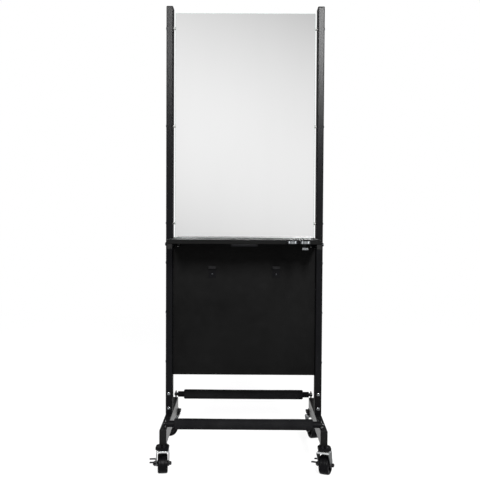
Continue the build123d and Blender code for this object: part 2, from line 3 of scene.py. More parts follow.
import json
import logging
import math
from abc import ABC, abstractmethod
from collections.abc import Callable, Iterable, Iterator
from dataclasses import dataclass
from enum import Enum

import bpy
from mathutils import Matrix, Vector, noise


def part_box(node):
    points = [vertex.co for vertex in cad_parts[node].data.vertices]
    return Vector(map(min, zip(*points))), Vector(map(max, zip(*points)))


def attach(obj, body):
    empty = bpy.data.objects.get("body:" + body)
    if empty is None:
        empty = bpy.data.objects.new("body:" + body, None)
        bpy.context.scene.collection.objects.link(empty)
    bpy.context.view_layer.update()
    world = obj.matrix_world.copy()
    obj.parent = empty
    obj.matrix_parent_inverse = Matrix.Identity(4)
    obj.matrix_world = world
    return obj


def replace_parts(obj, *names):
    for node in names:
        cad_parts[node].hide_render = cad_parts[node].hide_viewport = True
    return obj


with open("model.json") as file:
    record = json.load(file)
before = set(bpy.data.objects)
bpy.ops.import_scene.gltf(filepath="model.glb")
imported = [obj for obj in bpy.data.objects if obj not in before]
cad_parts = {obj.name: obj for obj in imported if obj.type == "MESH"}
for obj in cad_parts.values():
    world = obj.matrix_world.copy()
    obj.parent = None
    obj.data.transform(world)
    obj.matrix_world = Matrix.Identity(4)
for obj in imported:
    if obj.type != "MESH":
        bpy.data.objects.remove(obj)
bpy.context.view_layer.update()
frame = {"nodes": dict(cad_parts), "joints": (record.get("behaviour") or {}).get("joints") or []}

log = logging.getLogger("salon_station")

MM = 0.001
# Share of a unit direction along an axis: above the first it runs with the axis, below the second
# across it.
WITH_AXIS = 0.99
ACROSS_AXIS = 0.1
Box = tuple[Vector, Vector]
Test = Callable[[Vector, Vector], bool]


# Colours and nodes

def linear(code: str) -> tuple[float, float, float, float]:
    """Turns an sRGB hex colour into linear RGBA.

    Args:
        code: Colour such as "#1a1a1b".

    Returns:
        Red, green, blue and alpha.
    """
    parts = [int(code[place:place + 2], 16) / 255 for place in (1, 3, 5)]
    rgb = [part / 12.92 if part <= 0.04045 else ((part + 0.055) / 1.055) ** 2.4 for part in parts]
    return (rgb[0], rgb[1], rgb[2], 1.0)


def per_metre(size_mm: float) -> float:
    """Gives the texture scale at which one feature measures size_mm."""
    return 1 / (size_mm * MM)


def add_node(
    tree: bpy.types.NodeTree,
    kind: str,
    settings: dict | None = None,
    links: dict | None = None,
) -> bpy.types.Node:
    """Adds a node with its settings and links.

    Args:
        tree: Node tree that gets the node.
        kind: Blender's name of the node type.
        settings: Values by attribute name, or by input name or number.
        links: Source node and its output, by input name or number.

    Returns:
        The new node.
    """
    node = tree.nodes.new(kind)
    for key, value in (settings or {}).items():
        if isinstance(key, str) and hasattr(node, key):
            setattr(node, key, value)
        else:
            node.inputs[key].default_value = value
    for key, (source, output) in (links or {}).items():
        tree.links.new(source.outputs[output], node.inputs[key])
    return node


# Finishes

class Grain(Enum):
    """What the relief of a surface is made of."""

    PEEL = ("ShaderNodeTexNoise", {"Detail": 2.0, "Roughness": 0.5}, "Fac")
    PEBBLE = ("ShaderNodeTexVoronoi", {"feature": "SMOOTH_F1", "Smoothness": 0.8}, "Distance")
    CELLS = ("ShaderNodeTexVoronoi", {"feature": "F1", "Randomness": 1.0}, "Distance")


@dataclass(frozen=True)
class Surface(ABC):
    """A real material in two tones that drift into each other."""

    name: str
    tone: str
    second_tone: str

    def material(self) -> bpy.types.Material:
        """Returns this surface as a Blender material, made on first use."""
        made = bpy.data.materials.get(self.name)
        if made:
            return made
        made = bpy.data.materials.new(self.name)
        made.use_nodes = True
        made.diffuse_color = linear(self.tone)
        made.node_tree.nodes.clear()
        shader = self.lay(made.node_tree)
        add_node(made.node_tree, "ShaderNodeOutputMaterial", links={"Surface": (shader, 0)})
        return made

    @abstractmethod
    def lay(self, tree: bpy.types.NodeTree) -> bpy.types.Node:
        """Lays the nodes of the surface.

        Args:
            tree: Empty tree of the material.

        Returns:
            The shader.
        """


@dataclass(frozen=True)
class Finish(Surface):
    """A surface as its making and its use have left it.

    Colour drifts between the tones over cloud_mm, rubs of rub_mm lighten it and vary its roughness
    where it has been touched or knocked, and a fine relief of grain_mm breaks the highlights.
    """

    rubbed_tone: str
    roughness: tuple[float, float]
    grain: Grain
    grain_mm: float
    relief_mm: float
    cloud_mm: float = 140.0
    rub_mm: float = 26.0
    rub: float = 0.2
    metallic: float = 0.0
    specular: float = 0.5

    def lay(self, tree: bpy.types.NodeTree) -> bpy.types.Node:
        """Lays the nodes of the finish.

        Args:
            tree: Empty tree of the material.

        Returns:
            The shader.
        """
        here = {"Vector": (add_node(tree, "ShaderNodeTexCoord"), "Object")}
        cloud = add_node(
            tree, "ShaderNodeTexNoise", {"Scale": per_metre(self.cloud_mm), "Detail": 3.0}, here
        )
        drift = add_node(
            tree, "ShaderNodeMapRange", {"From Min": 0.35, "From Max": 0.65}, {"Value": (cloud, 0)}
        )
        rubs = add_node(
            tree, "ShaderNodeTexNoise",
            {"Scale": per_metre(self.rub_mm), "Detail": 6.0, "Roughness": 0.62}, here,
        )
        rubbed = add_node(
            tree, "ShaderNodeMapRange",
            {"From Min": 0.58, "From Max": 0.78, "To Max": self.rub}, {"Value": (rubs, 0)},
        )
        base = add_node(
            tree, "ShaderNodeMix",
            {"data_type": "RGBA", 6: linear(self.tone), 7: linear(self.second_tone)},
            {0: (drift, 0)},
        )
        colour = add_node(
            tree, "ShaderNodeMix", {"data_type": "RGBA", 7: linear(self.rubbed_tone)},
            {0: (rubbed, 0), 6: (base, 2)},
        )
        gloss = add_node(
            tree, "ShaderNodeMapRange",
            {"From Min": 0.3, "From Max": 0.7,
             "To Min": self.roughness[0], "To Max": self.roughness[1]},
            {"Value": (rubs, 0)},
        )
        kind, settings, output = self.grain.value
        grain = add_node(tree, kind, {"Scale": per_metre(self.grain_mm), **settings}, here)
        relief = add_node(
            tree, "ShaderNodeBump", {"Strength": 1.0, "Distance": self.relief_mm * MM},
            {"Height": (grain, output)},
        )
        return add_node(
            tree, "ShaderNodeBsdfPrincipled",
            {"Metallic": self.metallic, "Specular IOR Level": self.specular},
            {"Base Color": (colour, 2), "Roughness": (gloss, 0), "Normal": (relief, 0)},
        )


@dataclass(frozen=True)
class SilveredGlass(Surface):
    """Silvered float glass: a clean reflection with faint wiping marks, no relief."""

    roughness: tuple[float, float]
    wipe_mm: float
    stretch: tuple[float, float, float]

    def lay(self, tree: bpy.types.NodeTree) -> bpy.types.Node:
        """Lays the nodes of the glass.

        Args:
            tree: Empty tree of the material.

        Returns:
            The shader.
        """
        place = add_node(tree, "ShaderNodeTexCoord")
        wiped = add_node(
            tree, "ShaderNodeMapping", {"Scale": self.stretch}, {"Vector": (place, "Object")}
        )
        marks = add_node(
            tree, "ShaderNodeTexNoise", {"Scale": per_metre(self.wipe_mm), "Detail": 4.0},
            {"Vector": (wiped, 0)},
        )
        gloss = add_node(
            tree, "ShaderNodeMapRange",
            {"From Min": 0.45, "From Max": 0.7,
             "To Min": self.roughness[0], "To Max": self.roughness[1]},
            {"Value": (marks, 0)},
        )
        colour = add_node(
            tree, "ShaderNodeMix",
            {"data_type": "RGBA", 6: linear(self.tone), 7: linear(self.second_tone)},
            {0: (marks, 0)},
        )
        return add_node(
            tree, "ShaderNodeBsdfPrincipled", {"Metallic": 1.0},
            {"Base Color": (colour, 2), "Roughness": (gloss, 0)},
        )


# Powder coated steel, sprayed and baked: satin black whose orange peel softens the lamps'
# reflections. The peel is about 1 mm and is drawn at 2.5 mm so that it shows.
POWDER_COAT = Finish(
    "powder_coated_steel", "#040405", "#060607", "#0c0c0d", (0.24, 0.25), Grain.PEEL, 2.5, 0.007,
    specular=0.05,
)
# The same coat where spray only drifts in or shoes scuff it, on the posts' inner faces, the feet's
# tops and the footrest bars: drier, so it shines less at a low angle.
DRY_COAT = Finish(
    "dry_sprayed_powder_coat", "#040405", "#060607", "#0d0d0e", (0.5, 0.6), Grain.PEEL, 1.5, 0.03,
    specular=0.03,
)
# The coat on the hooks' lips, painted a lighter grey as a highlight where their top edges catch the
# light.
LIP_HIGHLIGHT_COAT = Finish(
    "powder_coat_with_painted_highlight", "#0c0c0d", "#101011", "#1b1b1c", (0.3, 0.45), Grain.PEEL, 2.5, 0.02,
    cloud_mm=12.0, rub_mm=6.0, specular=0.06,
)
# Moulded polyethylene caps: duller than the coat, with the fine spark pattern of the mould.
MOULDED_CAP = Finish(
    "moulded_polyethylene", "#060606", "#0a0a0a", "#151515", (0.42, 0.55), Grain.PEEL, 1.2, 0.03,
    cloud_mm=40.0, specular=0.06,
)
# Melamine faced board: black paper pressed under resin, a pebbled satin that greys at a low angle.
MELAMINE_BOARD = Finish(
    "melamine_faced_board", "#030303", "#050505", "#0e0e0f", (0.34, 0.46), Grain.PEBBLE, 2.2, 0.02,
    cloud_mm=220.0, rub_mm=38.0, rub=0.12, specular=0.04,
)
# The same board as shelves, scuffed matt by what stands on it: grey, not white, at a low angle.
SHELF_BOARD = Finish(
    "scuffed_melamine_faced_board", "#030303", "#050505", "#121213", (0.6, 0.72),
    Grain.PEBBLE, 2.2, 0.03,
    cloud_mm=220.0, rub_mm=38.0, rub=0.15, specular=0.04,
)
# Silvered float glass: nearly all of the light comes back, in its own colour.
MIRROR = SilveredGlass(
    "silvered_float_glass", "#f5f5f5", "#f0f0f0", (0.0, 0.018),
    wipe_mm=160.0, stretch=(1.0, 1.0, 0.3),
)
# Ground and polished glass edge: the green of iron in the glass, seen through its length.
GLASS_EDGE = Finish(
    "polished_glass_edge", "#4f6660", "#3d524c", "#6d837d", (0.12, 0.22), Grain.PEEL, 6.0, 0.01,
    cloud_mm=60.0,
)
# Zinc plated sheet steel, barrel plated after pressing: bright bluish grey with cloudy patches.
ZINC_SHEET = Finish(
    "zinc_plated_steel", "#c4c6c7", "#b0b2b4", "#d6d7d8", (0.24, 0.4), Grain.PEEL, 1.6, 0.02,
    cloud_mm=14.0, rub_mm=6.0, rub=0.4, metallic=1.0,
)
# The same sheet low on the legs, painted a darker grey as shade below the crown and dulled by dust
# and wheel grease: a grey that hardly shines.
SHADED_DUSTY_ZINC = Finish(
    "dusty_zinc_plated_steel_painted_shade", "#595b5c", "#494b4c", "#6f7071", (0.42, 0.58),
    Grain.PEEL, 1.6, 0.02,
    cloud_mm=14.0, rub_mm=6.0, rub=0.4, metallic=1.0,
)
# Zinc plated fasteners: the same plating on turned and headed wire, a little duller.
ZINC_FASTENER = Finish(
    "zinc_plated_fastener", "#8f9295", "#76797c", "#b2b4b6", (0.28, 0.44), Grain.PEEL, 0.8, 0.01,
    cloud_mm=7.0, rub_mm=3.0, rub=0.4, metallic=1.0,
)
# Smoke grey passivated zinc on the post bolts: a bright glint on a mid grey head.
GREY_ZINC = Finish(
    "grey_passivated_zinc", "#7a7c7e", "#686a6c", "#8f9193", (0.16, 0.26), Grain.PEEL, 0.8, 0.005,
    cloud_mm=7.0, rub_mm=3.0, rub=0.3, metallic=1.0,
)
# Black passivated zinc: the plating dipped black, a dim grey glint at most.
BLACK_ZINC = Finish(
    "black_passivated_zinc", "#2e2f31", "#252628", "#3c3d3f", (0.3, 0.45), Grain.PEEL, 0.8, 0.01,
    cloud_mm=7.0, rub_mm=3.0, rub=0.3, metallic=1.0,
)
# Chrome plated steel, buffed before plating: a cold mirror with very faint buffing haze.
CHROME = Finish(
    "chrome_plated_steel", "#a9acaf", "#989b9e", "#c6c8ca", (0.06, 0.12), Grain.PEEL, 9.0, 0.005,
    cloud_mm=20.0, rub_mm=5.0, metallic=1.0,
)
# Closed cell nitrile foam, extruded: soft black skin pitted by cells of about 1 mm, drawn at 2 mm.
FOAM = Finish(
    "closed_cell_nitrile_foam", "#060607", "#0a0a0b", "#161617", (0.78, 0.92),
    Grain.CELLS, 2.0, 0.35,
    cloud_mm=60.0, rub_mm=18.0, rub=0.3, specular=0.05,
)
# Cast polyurethane tyre: hard satin black, dusty where it has rolled.
TYRE = Finish(
    "cast_polyurethane", "#030304", "#050506", "#1b1a17", (0.3, 0.45), Grain.PEEL, 3.0, 0.03,
    cloud_mm=18.0, rub_mm=9.0, rub=0.12, specular=0.04,
)
# Glass filled nylon hub, moulded: dull black with faint flow marks.
NYLON_HUB = Finish(
    "moulded_black_nylon", "#080809", "#0c0c0d", "#181818", (0.4, 0.55), Grain.PEEL, 1.4, 0.02,
    cloud_mm=16.0, rub_mm=8.0, specular=0.08,
)
# Natural nylon swivel rings: milky white turned rod.
NYLON_RING = Finish(
    "turned_natural_nylon", "#e2dfd6", "#d6d2c6", "#c8c3b6", (0.4, 0.52), Grain.PEEL, 1.0, 0.01,
    cloud_mm=8.0, rub_mm=4.0,
)
# Grey nylon spacers, moulded: a dull mid grey, hardly seen in the bright gap beside the mirror.
NYLON_SPACER = Finish(
    "moulded_grey_nylon", "#7d7d7b", "#737371", "#666664", (0.4, 0.52), Grain.PEEL, 1.0, 0.01,
    cloud_mm=8.0, rub_mm=4.0,
)
# Blackened steel axles, brakes, caster bolts and arm nuts: oiled oxide, a dark sheen on turned or
# pressed steel.
BLACK_OXIDE = Finish(
    "oiled_black_oxide_steel", "#08080a", "#0d0d0e", "#28282a", (0.28, 0.42),
    Grain.PEEL, 1.2, 0.015,
    cloud_mm=12.0, rub_mm=5.0, rub=0.3, specular=0.1,
)


# Modelling by hand

class Pick(Enum):
    """What is picked in edit mode."""

    FACES = "FACE"
    EDGES = "EDGE"


def only(piece: bpy.types.Object) -> None:
    """Makes a piece the one selected and active object."""
    bpy.ops.object.select_all(action="DESELECT")
    piece.select_set(True)
    bpy.context.view_layer.objects.active = piece


def start_rod(name: str, radius: float, length: float, sides: int) -> bpy.types.Object:
    """Starts a round bar along Z about the origin.

    Args:
        name: Name of the piece.
        radius: Radius in metres.
        length: Length in metres.
        sides: Number of flats.

    Returns:
        The bar, to be shaped.
    """
    bpy.ops.object.select_all(action="DESELECT")
    bpy.ops.mesh.primitive_cylinder_add(vertices=sides, radius=radius, depth=length)
    piece = bpy.context.active_object
    piece.name = name
    return piece


def start_block(name: str, size: Vector, middle: Vector) -> bpy.types.Object:
    """Starts a block whose place and size are in its mesh.

    Args:
        name: Name of the piece.
        size: Lengths along X, Y and Z in metres.
        middle: Its middle.

    Returns:
        The block, to be shaped.
    """
    bpy.ops.object.select_all(action="DESELECT")
    bpy.ops.mesh.primitive_cube_add(size=1.0, location=middle)
    piece = bpy.context.active_object
    piece.name = name
    piece.scale = size
    bpy.ops.object.transform_apply(location=True, rotation=True, scale=True)
    return piece


def pick(piece: bpy.types.Object, what: Pick, wanted: Test) -> None:
    """Opens a piece in edit mode with the faces or edges that pass a test picked.

    Args:
        piece: The piece.
        what: Faces or edges.
        wanted: Gets the middle, and the normal of a face or direction of an edge.
    """
    only(piece)
    bpy.ops.object.mode_set(mode="EDIT")
    bpy.ops.mesh.select_mode(type=what.value)
    bpy.ops.mesh.select_all(action="DESELECT")
    bpy.ops.object.mode_set(mode="OBJECT")
    mesh = piece.data
    if what is Pick.FACES:
        for face in mesh.polygons:
            face.select = wanted(face.center, face.normal)
    else:
        for edge in mesh.edges:
            ends = [mesh.vertices[number].co for number in edge.vertices]
            edge.select = wanted((ends[0] + ends[1]) / 2, (ends[1] - ends[0]).normalized())
    bpy.ops.object.mode_set(mode="EDIT")


def with_z(way: Vector) -> bool:
    """Tells whether a direction runs with Z."""
    return abs(way.z) > WITH_AXIS


def across_z(way: Vector) -> bool:
    """Tells whether a direction runs across Z."""
    return abs(way.z) < ACROSS_AXIS


def close_edit() -> None:
    """Leaves edit mode."""
    bpy.ops.object.mode_set(mode="OBJECT")


def modify(piece: bpy.types.Object, kind: str, **settings: object) -> None:
    """Adds a modifier and applies it.

    Args:
        piece: The piece.
        kind: Blender's name of the modifier type.
        **settings: Its settings.
    """
    only(piece)
    added = piece.modifiers.new(kind.lower(), kind)
    for key, value in settings.items():
        setattr(added, key, value)
    bpy.ops.object.modifier_apply(modifier=added.name)


def smooth(piece: bpy.types.Object, degrees: float = 35.0) -> None:
    """Shades a piece smooth except over sharp edges, and keeps its broad faces flat."""
    only(piece)
    bpy.ops.object.shade_smooth_by_angle(angle=math.radians(degrees))
    modify(piece, "WEIGHTED_NORMAL", keep_sharp=True)


def cut(piece: bpy.types.Object, tool: bpy.types.Object) -> None:
    """Cuts a tool's shape out of a piece and removes the tool."""
    modify(piece, "BOOLEAN", operation="DIFFERENCE", object=tool, solver="EXACT")
    bpy.data.objects.remove(tool)


def bore_out(piece: bpy.types.Object, radius: float, bore: float) -> float:
    """Bores a rod through along Z.

    Args:
        piece: The rod.
        radius: Its radius.
        bore: Radius of the bore.

    Returns:
        Radius half way between the bore and the outside.
    """
    pick(piece, Pick.FACES, lambda middle, normal: with_z(normal))
    bpy.ops.mesh.inset(thickness=radius - bore)
    bpy.ops.mesh.delete(type="FACE")
    close_edit()
    halfway = (bore + radius) / 2
    pick(piece, Pick.EDGES, lambda middle, along: middle.xy.length < halfway and across_z(along))
    bpy.ops.mesh.bridge_edge_loops()
    close_edit()
    return halfway


def copies(pattern: bpy.types.Object, places: Iterable[Matrix], name: str) -> bpy.types.Object:
    """Copies a pattern to each place, joins the copies into one piece and removes the pattern.

    Args:
        pattern: Piece modelled about the origin.
        places: Where each copy goes.
        name: Name of the joined piece.

    Returns:
        The joined piece.
    """
    made = []
    for place in places:
        mesh = pattern.data.copy()
        mesh.transform(place)
        piece = bpy.data.objects.new(name, mesh)
        bpy.context.scene.collection.objects.link(piece)
        made.append(piece)
    only(made[0])
    for piece in made:
        piece.select_set(True)
    bpy.ops.object.join()
    bpy.data.objects.remove(pattern)
    made[0].name = name
    return made[0]


def merged(
    node: str, ending: str, weld: float = 0.002 * MM, flat_degrees: float = 0.5
) -> bpy.types.Object:
    """Copies a CAD node with its loose triangles merged into whole faces.

    Args:
        node: The CAD node.
        ending: Ending of the copy's name.
        weld: Corners closer than this become one.
        flat_degrees: Faces that meet at less than this become one.

    Returns:
        The copy.
    """
    piece = bpy.data.objects.new(f"{node}_{ending}", frame["nodes"][node].data.copy())
    bpy.context.scene.collection.objects.link(piece)
    pick(piece, Pick.FACES, lambda middle, normal: True)
    bpy.ops.mesh.remove_doubles(threshold=weld)
    bpy.ops.mesh.dissolve_limited(angle_limit=math.radians(flat_degrees))
    close_edit()
    return piece


def eased(node: str, width_mm: float, degrees: float = 32.0) -> bpy.types.Object:
    """Copies a CAD node with its sharp edges eased as pressing, moulding or lipping leaves them.

    Args:
        node: The CAD node.
        width_mm: Width of the easing.
        degrees: Edges sharper than this are eased.

    Returns:
        The copy, which replaces the node.
    """
    piece = merged(node, "eased")
    modify(
        piece, "BEVEL", width=width_mm * MM, segments=2, limit_method="ANGLE",
        angle_limit=math.radians(degrees), use_clamp_overlap=True,
    )
    smooth(piece)
    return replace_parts(piece, node)


def solids_of(node: str, weld: float = 0.01 * MM) -> list[Box]:
    """Gives the box of each separate solid in a CAD node.

    Args:
        node: The CAD node.
        weld: Corners that agree to this count as one.

    Returns:
        Lowest and highest corner of each solid.
    """
    mesh = frame["nodes"][node].data
    keys = [tuple(round(part / weld) for part in vertex.co) for vertex in mesh.vertices]
    lead = {key: key for key in keys}

    def root(key: tuple[int, ...]) -> tuple[int, ...]:
        """Gives the leading corner of a corner's solid."""
        while lead[key] != key:
            lead[key] = lead[lead[key]]
            key = lead[key]
        return key

    for face in mesh.polygons:
        corners = [keys[number] for number in face.vertices]
        for corner in corners[1:]:
            lead[root(corner)] = root(corners[0])
    boxes: dict[tuple[int, ...], Box] = {}
    for vertex, key in zip(mesh.vertices, keys):
        low, high = boxes.setdefault(root(key), (vertex.co.copy(), vertex.co.copy()))
        for axis in range(3):
            low[axis] = min(low[axis], vertex.co[axis])
            high[axis] = max(high[axis], vertex.co[axis])
    return list(boxes.values())


def dress(finish: Surface, *nodes: str) -> None:
    """Gives CAD nodes a finish."""
    for node in nodes:
        slots = frame["nodes"][node].data.materials
        slots.clear()
        slots.append(finish.material())
        log.info("dressed %s in %s", node, finish.name)


def seat(
    piece: bpy.types.Object, body: str, slot: str, *finishes: Surface
) -> bpy.types.Object:
    """Makes a modelled piece part of the station.

    Args:
        piece: The finished piece.
        body: CAD body that it moves with.
        slot: Material slot of the record; not used.
        *finishes: Its finishes, in the order of its material numbers.

    Returns:
        The piece.
    """
    piece.data.materials.clear()
    for finish in finishes:
        piece.data.materials.append(finish.material())
    piece.data.name = piece.name
    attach(piece, body)
    log.info("built %s on %s", piece.name, body)
    return piece


def second_finish(piece: bpy.types.Object, wanted: Test) -> None:
    """Gives the faces that pass a test the second of a piece's two finishes.

    Args:
        piece: The seated piece.
        wanted: Gets the middle and the normal of a face.
    """
    for face in piece.data.polygons:
        face.material_index = 1 if wanted(face.center, face.normal) else 0


# Fasteners

class Recess(Enum):
    """The driver recess of a head."""

    HEX_SOCKET = "hexagon socket"
    CROSS = "cross"


@dataclass
class Fastener:
    """A domed head with its driver recess, standing on z 0.

    The dome and the recess's depth are shares of the height, the recess's widths of the radius.
    """

    radius: float
    height: float
    recess: Recess
    sides: int = 40
    dome: float = 0.62
    depth: float = 0.62
    socket_radius: float = 0.4
    cross_length: float = 1.1
    cross_width: float = 0.24

    def head(self) -> bpy.types.Object:
        """Models the head and cuts its recess."""
        piece = start_rod("head", self.radius, self.height, self.sides)
        piece.data.transform(Matrix.Translation((0, 0, self.height / 2)))
        top = self.height - 0.01 * MM
        pick(piece, Pick.EDGES, lambda middle, along: middle.z > top)
        bpy.ops.mesh.bevel(offset=self.dome * self.height, segments=5, profile=0.5)
        close_edit()
        cut(piece, self.tool())
        smooth(piece, degrees=30)
        return piece

    def tool(self) -> bpy.types.Object:
        """Models the shape that the recess is cut with."""
        deep = 2 * self.depth * self.height
        middle = Vector((0, 0, self.height))
        if self.recess is Recess.HEX_SOCKET:
            tool = start_rod("socket", self.socket_radius * self.radius, deep, sides=6)
            tool.data.transform(Matrix.Translation(middle))
            return tool
        length, width = self.cross_length * self.radius, self.cross_width * self.radius
        tool = start_block("cross", Vector((length, width, deep)), middle)
        other = start_block("cross_arm", Vector((width, length, deep)), middle)
        modify(tool, "BOOLEAN", operation="UNION", object=other, solver="EXACT")
        bpy.data.objects.remove(other)
        return tool


M8_HEAD = Fastener(7.0 * MM, 4.4 * MM, Recess.HEX_SOCKET)
M6_HEAD = Fastener(5.75 * MM, 4.0 * MM, Recess.HEX_SOCKET)
SCREW_HEAD = Fastener(4.0 * MM, 2.4 * MM, Recess.CROSS, sides=28)


def heads_of(
    node: str,
    fastener: Fastener,
    way: Callable[[Box], Vector],
    finish: Finish = ZINC_FASTENER,
) -> None:
    """Puts a modelled head on every bolt or screw of a CAD node.

    Args:
        node: CAD node of the fasteners.
        fastener: Their head.
        way: Gives the direction in which the head of a solid points.
        finish: Finish of the heads.
    """
    places = []
    for low, high in solids_of(node):
        out = way((low, high))
        middle = (low + high) / 2
        reach = sum(abs(out[axis]) * (high[axis] - low[axis]) / 2 for axis in range(3))
        face = middle + out * (reach - fastener.height)
        turn = out.to_track_quat("Z", "Y").to_matrix().to_4x4()
        places.append(Matrix.Translation(face) @ turn)
    piece = copies(fastener.head(), places, f"{node}_heads")
    seat(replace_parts(piece, node), "frame", "zinc_fastener", finish)


def outward_x(solid: Box) -> Vector:
    """Points away from the middle of the station along X."""
    return Vector((math.copysign(1, solid[0].x + solid[1].x), 0, 0))


def outward_y(solid: Box) -> Vector:
    """Points away from the middle of the station along Y."""
    return Vector((0, math.copysign(1, solid[0].y + solid[1].y), 0))


def to_front(solid: Box) -> Vector:
    """Points to the front."""
    return Vector((0, -1, 0))


def downward(solid: Box) -> Vector:
    """Points to the floor."""
    return Vector((0, 0, -1))


def trim_way(solid: Box) -> Vector:
    """Points out of the shelf's edge or down from under it, whichever way the screw is longer."""
    size = solid[1] - solid[0]
    return downward(solid) if size.z > size.y else outward_y(solid)


# Sub-assemblies

@dataclass
class Frame:
    """Posts and feet with their caps, bolts and welds."""

    bead_radius: float = 2.4 * MM
    bead_ripple: float = 0.35 * MM
    bead_pitch: float = 3.0 * MM
    bead_sides: int = 14
    cuts_per_pitch: int = 4
    end_taper: int = 8
    end_least: float = 0.05
    dry_facing: float = 0.8
    lug_inner: float = 298.5 * MM
    lug_outer: float = 303.5 * MM
    lug_length: float = 30.0 * MM
    foot_width: float = 27.0 * MM
    pad_bead_length: float = 16.0 * MM
    pad_bead_inset: float = 14.0 * MM

    def build(self) -> None:
        """Dresses the tubes and models bolt heads and welds."""
        for side, inward in (("left", 1), ("right", -1)):
            self.tubes(f"{side}_post", Vector((inward, 0, 0)))
            self.tubes(f"{side}_foot", Vector((0, 0, 1)))
        dress(MOULDED_CAP, "post_caps", "foot_caps")
        dress(ZINC_FASTENER, "post_nuts")
        heads_of("post_bolts", M8_HEAD, to_front, GREY_ZINC)
        self.welds("lug_welds", self.lug_length, self.lug_places())
        self.welds("pad_welds", self.pad_bead_length, self.pad_places())

    def tubes(self, node: str, dry: Vector) -> None:
        """Sets a post or foot up with the dry coat on the faces that look one way.

        Args:
            node: CAD node of the post or foot.
            dry: The way that those faces look.
        """
        piece = merged(node, "coated")
        smooth(piece)
        seat(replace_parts(piece, node), "frame", "black_steel", POWDER_COAT, DRY_COAT)
        second_finish(piece, lambda middle, normal: normal.dot(dry) > self.dry_facing)

    def welds(self, name: str, length: float, places: Iterable[Vector]) -> None:
        """Models one rippled bead along Y and copies it to each place.

        Args:
            name: Name of the piece.
            length: Length of a bead.
            places: Middles of the beads.
        """
        bead = start_rod("bead", self.bead_radius, length, self.bead_sides)
        pick(bead, Pick.EDGES, lambda middle, along: with_z(along))
        bpy.ops.mesh.subdivide(number_cuts=int(self.cuts_per_pitch * length / self.bead_pitch))
        close_edit()
        half = length / 2
        for vertex in bead.data.vertices:
            wave = math.cos(2 * math.pi * vertex.co.z / self.bead_pitch)
            end = math.sqrt(max(self.end_least, 1 - (abs(vertex.co.z) / half) ** self.end_taper))
            size = end * (1 + self.bead_ripple / self.bead_radius * (wave - 1))
            vertex.co.x *= size
            vertex.co.y *= size
        bead.data.transform(Matrix.Rotation(math.pi / 2, 4, "X"))
        smooth(bead, degrees=60)
        piece = copies(bead, [Matrix.Translation(place) for place in places], name)
        seat(piece, "frame", "black_steel", POWDER_COAT)

    def lug_places(self) -> Iterator[Vector]:
        """Yields the corners where the footrest lugs stand on the feet."""
        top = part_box("foot_caps")[1].z
        for low, high in (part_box("front_footrest_tube"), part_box("rear_footrest_tube")):
            for side in (-1, 1):
                for x in (self.lug_inner, self.lug_outer):
                    yield Vector((side * x, (low.y + high.y) / 2, top))

    def pad_places(self) -> Iterator[Vector]:
        """Yields the corners where the caster pads run along the feet."""
        low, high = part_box("foot_caps")
        for side in (-1, 1):
            for y in (low.y + self.pad_bead_inset, high.y - self.pad_bead_inset):
                for x in (high.x, high.x - self.foot_width):
                    yield Vector((side * x, y, low.z))


@dataclass
class MirrorUnit:
    """Two panes back to back on their board."""

    arris: float = 1.0 * MM

    def build(self) -> None:
        """Models the panes and dresses the board and its fixings."""
        for node in ("front_mirror", "rear_mirror"):
            self.pane(node)
        dress(MELAMINE_BOARD, "mirror_backing")
        dress(NYLON_SPACER, "mirror_spacers")
        heads_of("mirror_bolts", M6_HEAD, outward_x)

    def pane(self, node: str) -> None:
        """Models one pane with ground arrises, silvered on its broad faces.

        Args:
            node: CAD node of the pane.
        """
        low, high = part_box(node)
        piece = start_block(f"{node}_pane", high - low, (low + high) / 2)
        modify(piece, "BEVEL", width=self.arris, segments=3, limit_method="NONE")
        seat(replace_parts(piece, node), "frame", "mirror_glass", MIRROR, GLASS_EDGE)
        second_finish(piece, lambda middle, normal: abs(normal.y) <= WITH_AXIS)


@dataclass
class Shelves:
    """Shelf boards on their square arms, the panel under them and its hooks."""

    board_easing_mm: float = 0.9
    strip_easing_mm: float = 0.35
    lip_skin: float = 0.4 * MM

    def build(self) -> None:
        """Eases the boards and strips, and dresses the arms and fixings."""
        for node in ("front_shelf", "rear_shelf"):
            seat(eased(node, self.board_easing_mm), "frame", "black_board", SHELF_BOARD)
        seat(eased("centre_panel", self.board_easing_mm), "frame", "black_board", MELAMINE_BOARD)
        dress(POWDER_COAT, "left_shelf_arm", "right_shelf_arm")
        dress(MOULDED_CAP, "arm_caps")
        dress(BLACK_OXIDE, "arm_nuts")
        heads_of("arm_bolts", M8_HEAD, outward_x, BLACK_ZINC)
        heads_of("panel_bolts", M6_HEAD, outward_x)
        heads_of("shelf_screws", SCREW_HEAD, downward)
        self.hooks()
        heads_of("hook_screws", SCREW_HEAD, outward_y, BLACK_ZINC)

    def hooks(self) -> None:
        """Eases the hooks, their lips coloured lighter as a painted highlight."""
        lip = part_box("tool_hooks")[1].y - self.lip_skin
        piece = eased("tool_hooks", self.strip_easing_mm)
        seat(piece, "frame", "black_strip", POWDER_COAT, LIP_HIGHLIGHT_COAT)
        # The lips' faces take the lighter coat: a painted highlight.
        second_finish(piece, lambda middle, normal: abs(middle.y) > lip)


@dataclass
class Trim:
    """Grips and chrome tool holders on the shelves' front edges."""

    easing_mm: float = 0.4
    plate_face: float = 258.1 * MM

    def build(self) -> None:
        """Eases the strips and rings and models their screws."""
        seat(eased("shelf_grips", self.easing_mm), "frame", "black_strip", POWDER_COAT)
        for node in ("front_tool_holder", "rear_tool_holder"):
            self.holder(node)
        heads_of("trim_screws", SCREW_HEAD, trim_way)

    def holder(self, node: str) -> None:
        """Eases a holder, its rings chromed and its plate and strap coated black.

        Args:
            node: CAD node of the holder.
        """
        piece = seat(eased(node, self.easing_mm), "frame", "chrome_ring", CHROME, POWDER_COAT)
        second_finish(piece, lambda middle, normal: abs(middle.y) <= self.plate_face)


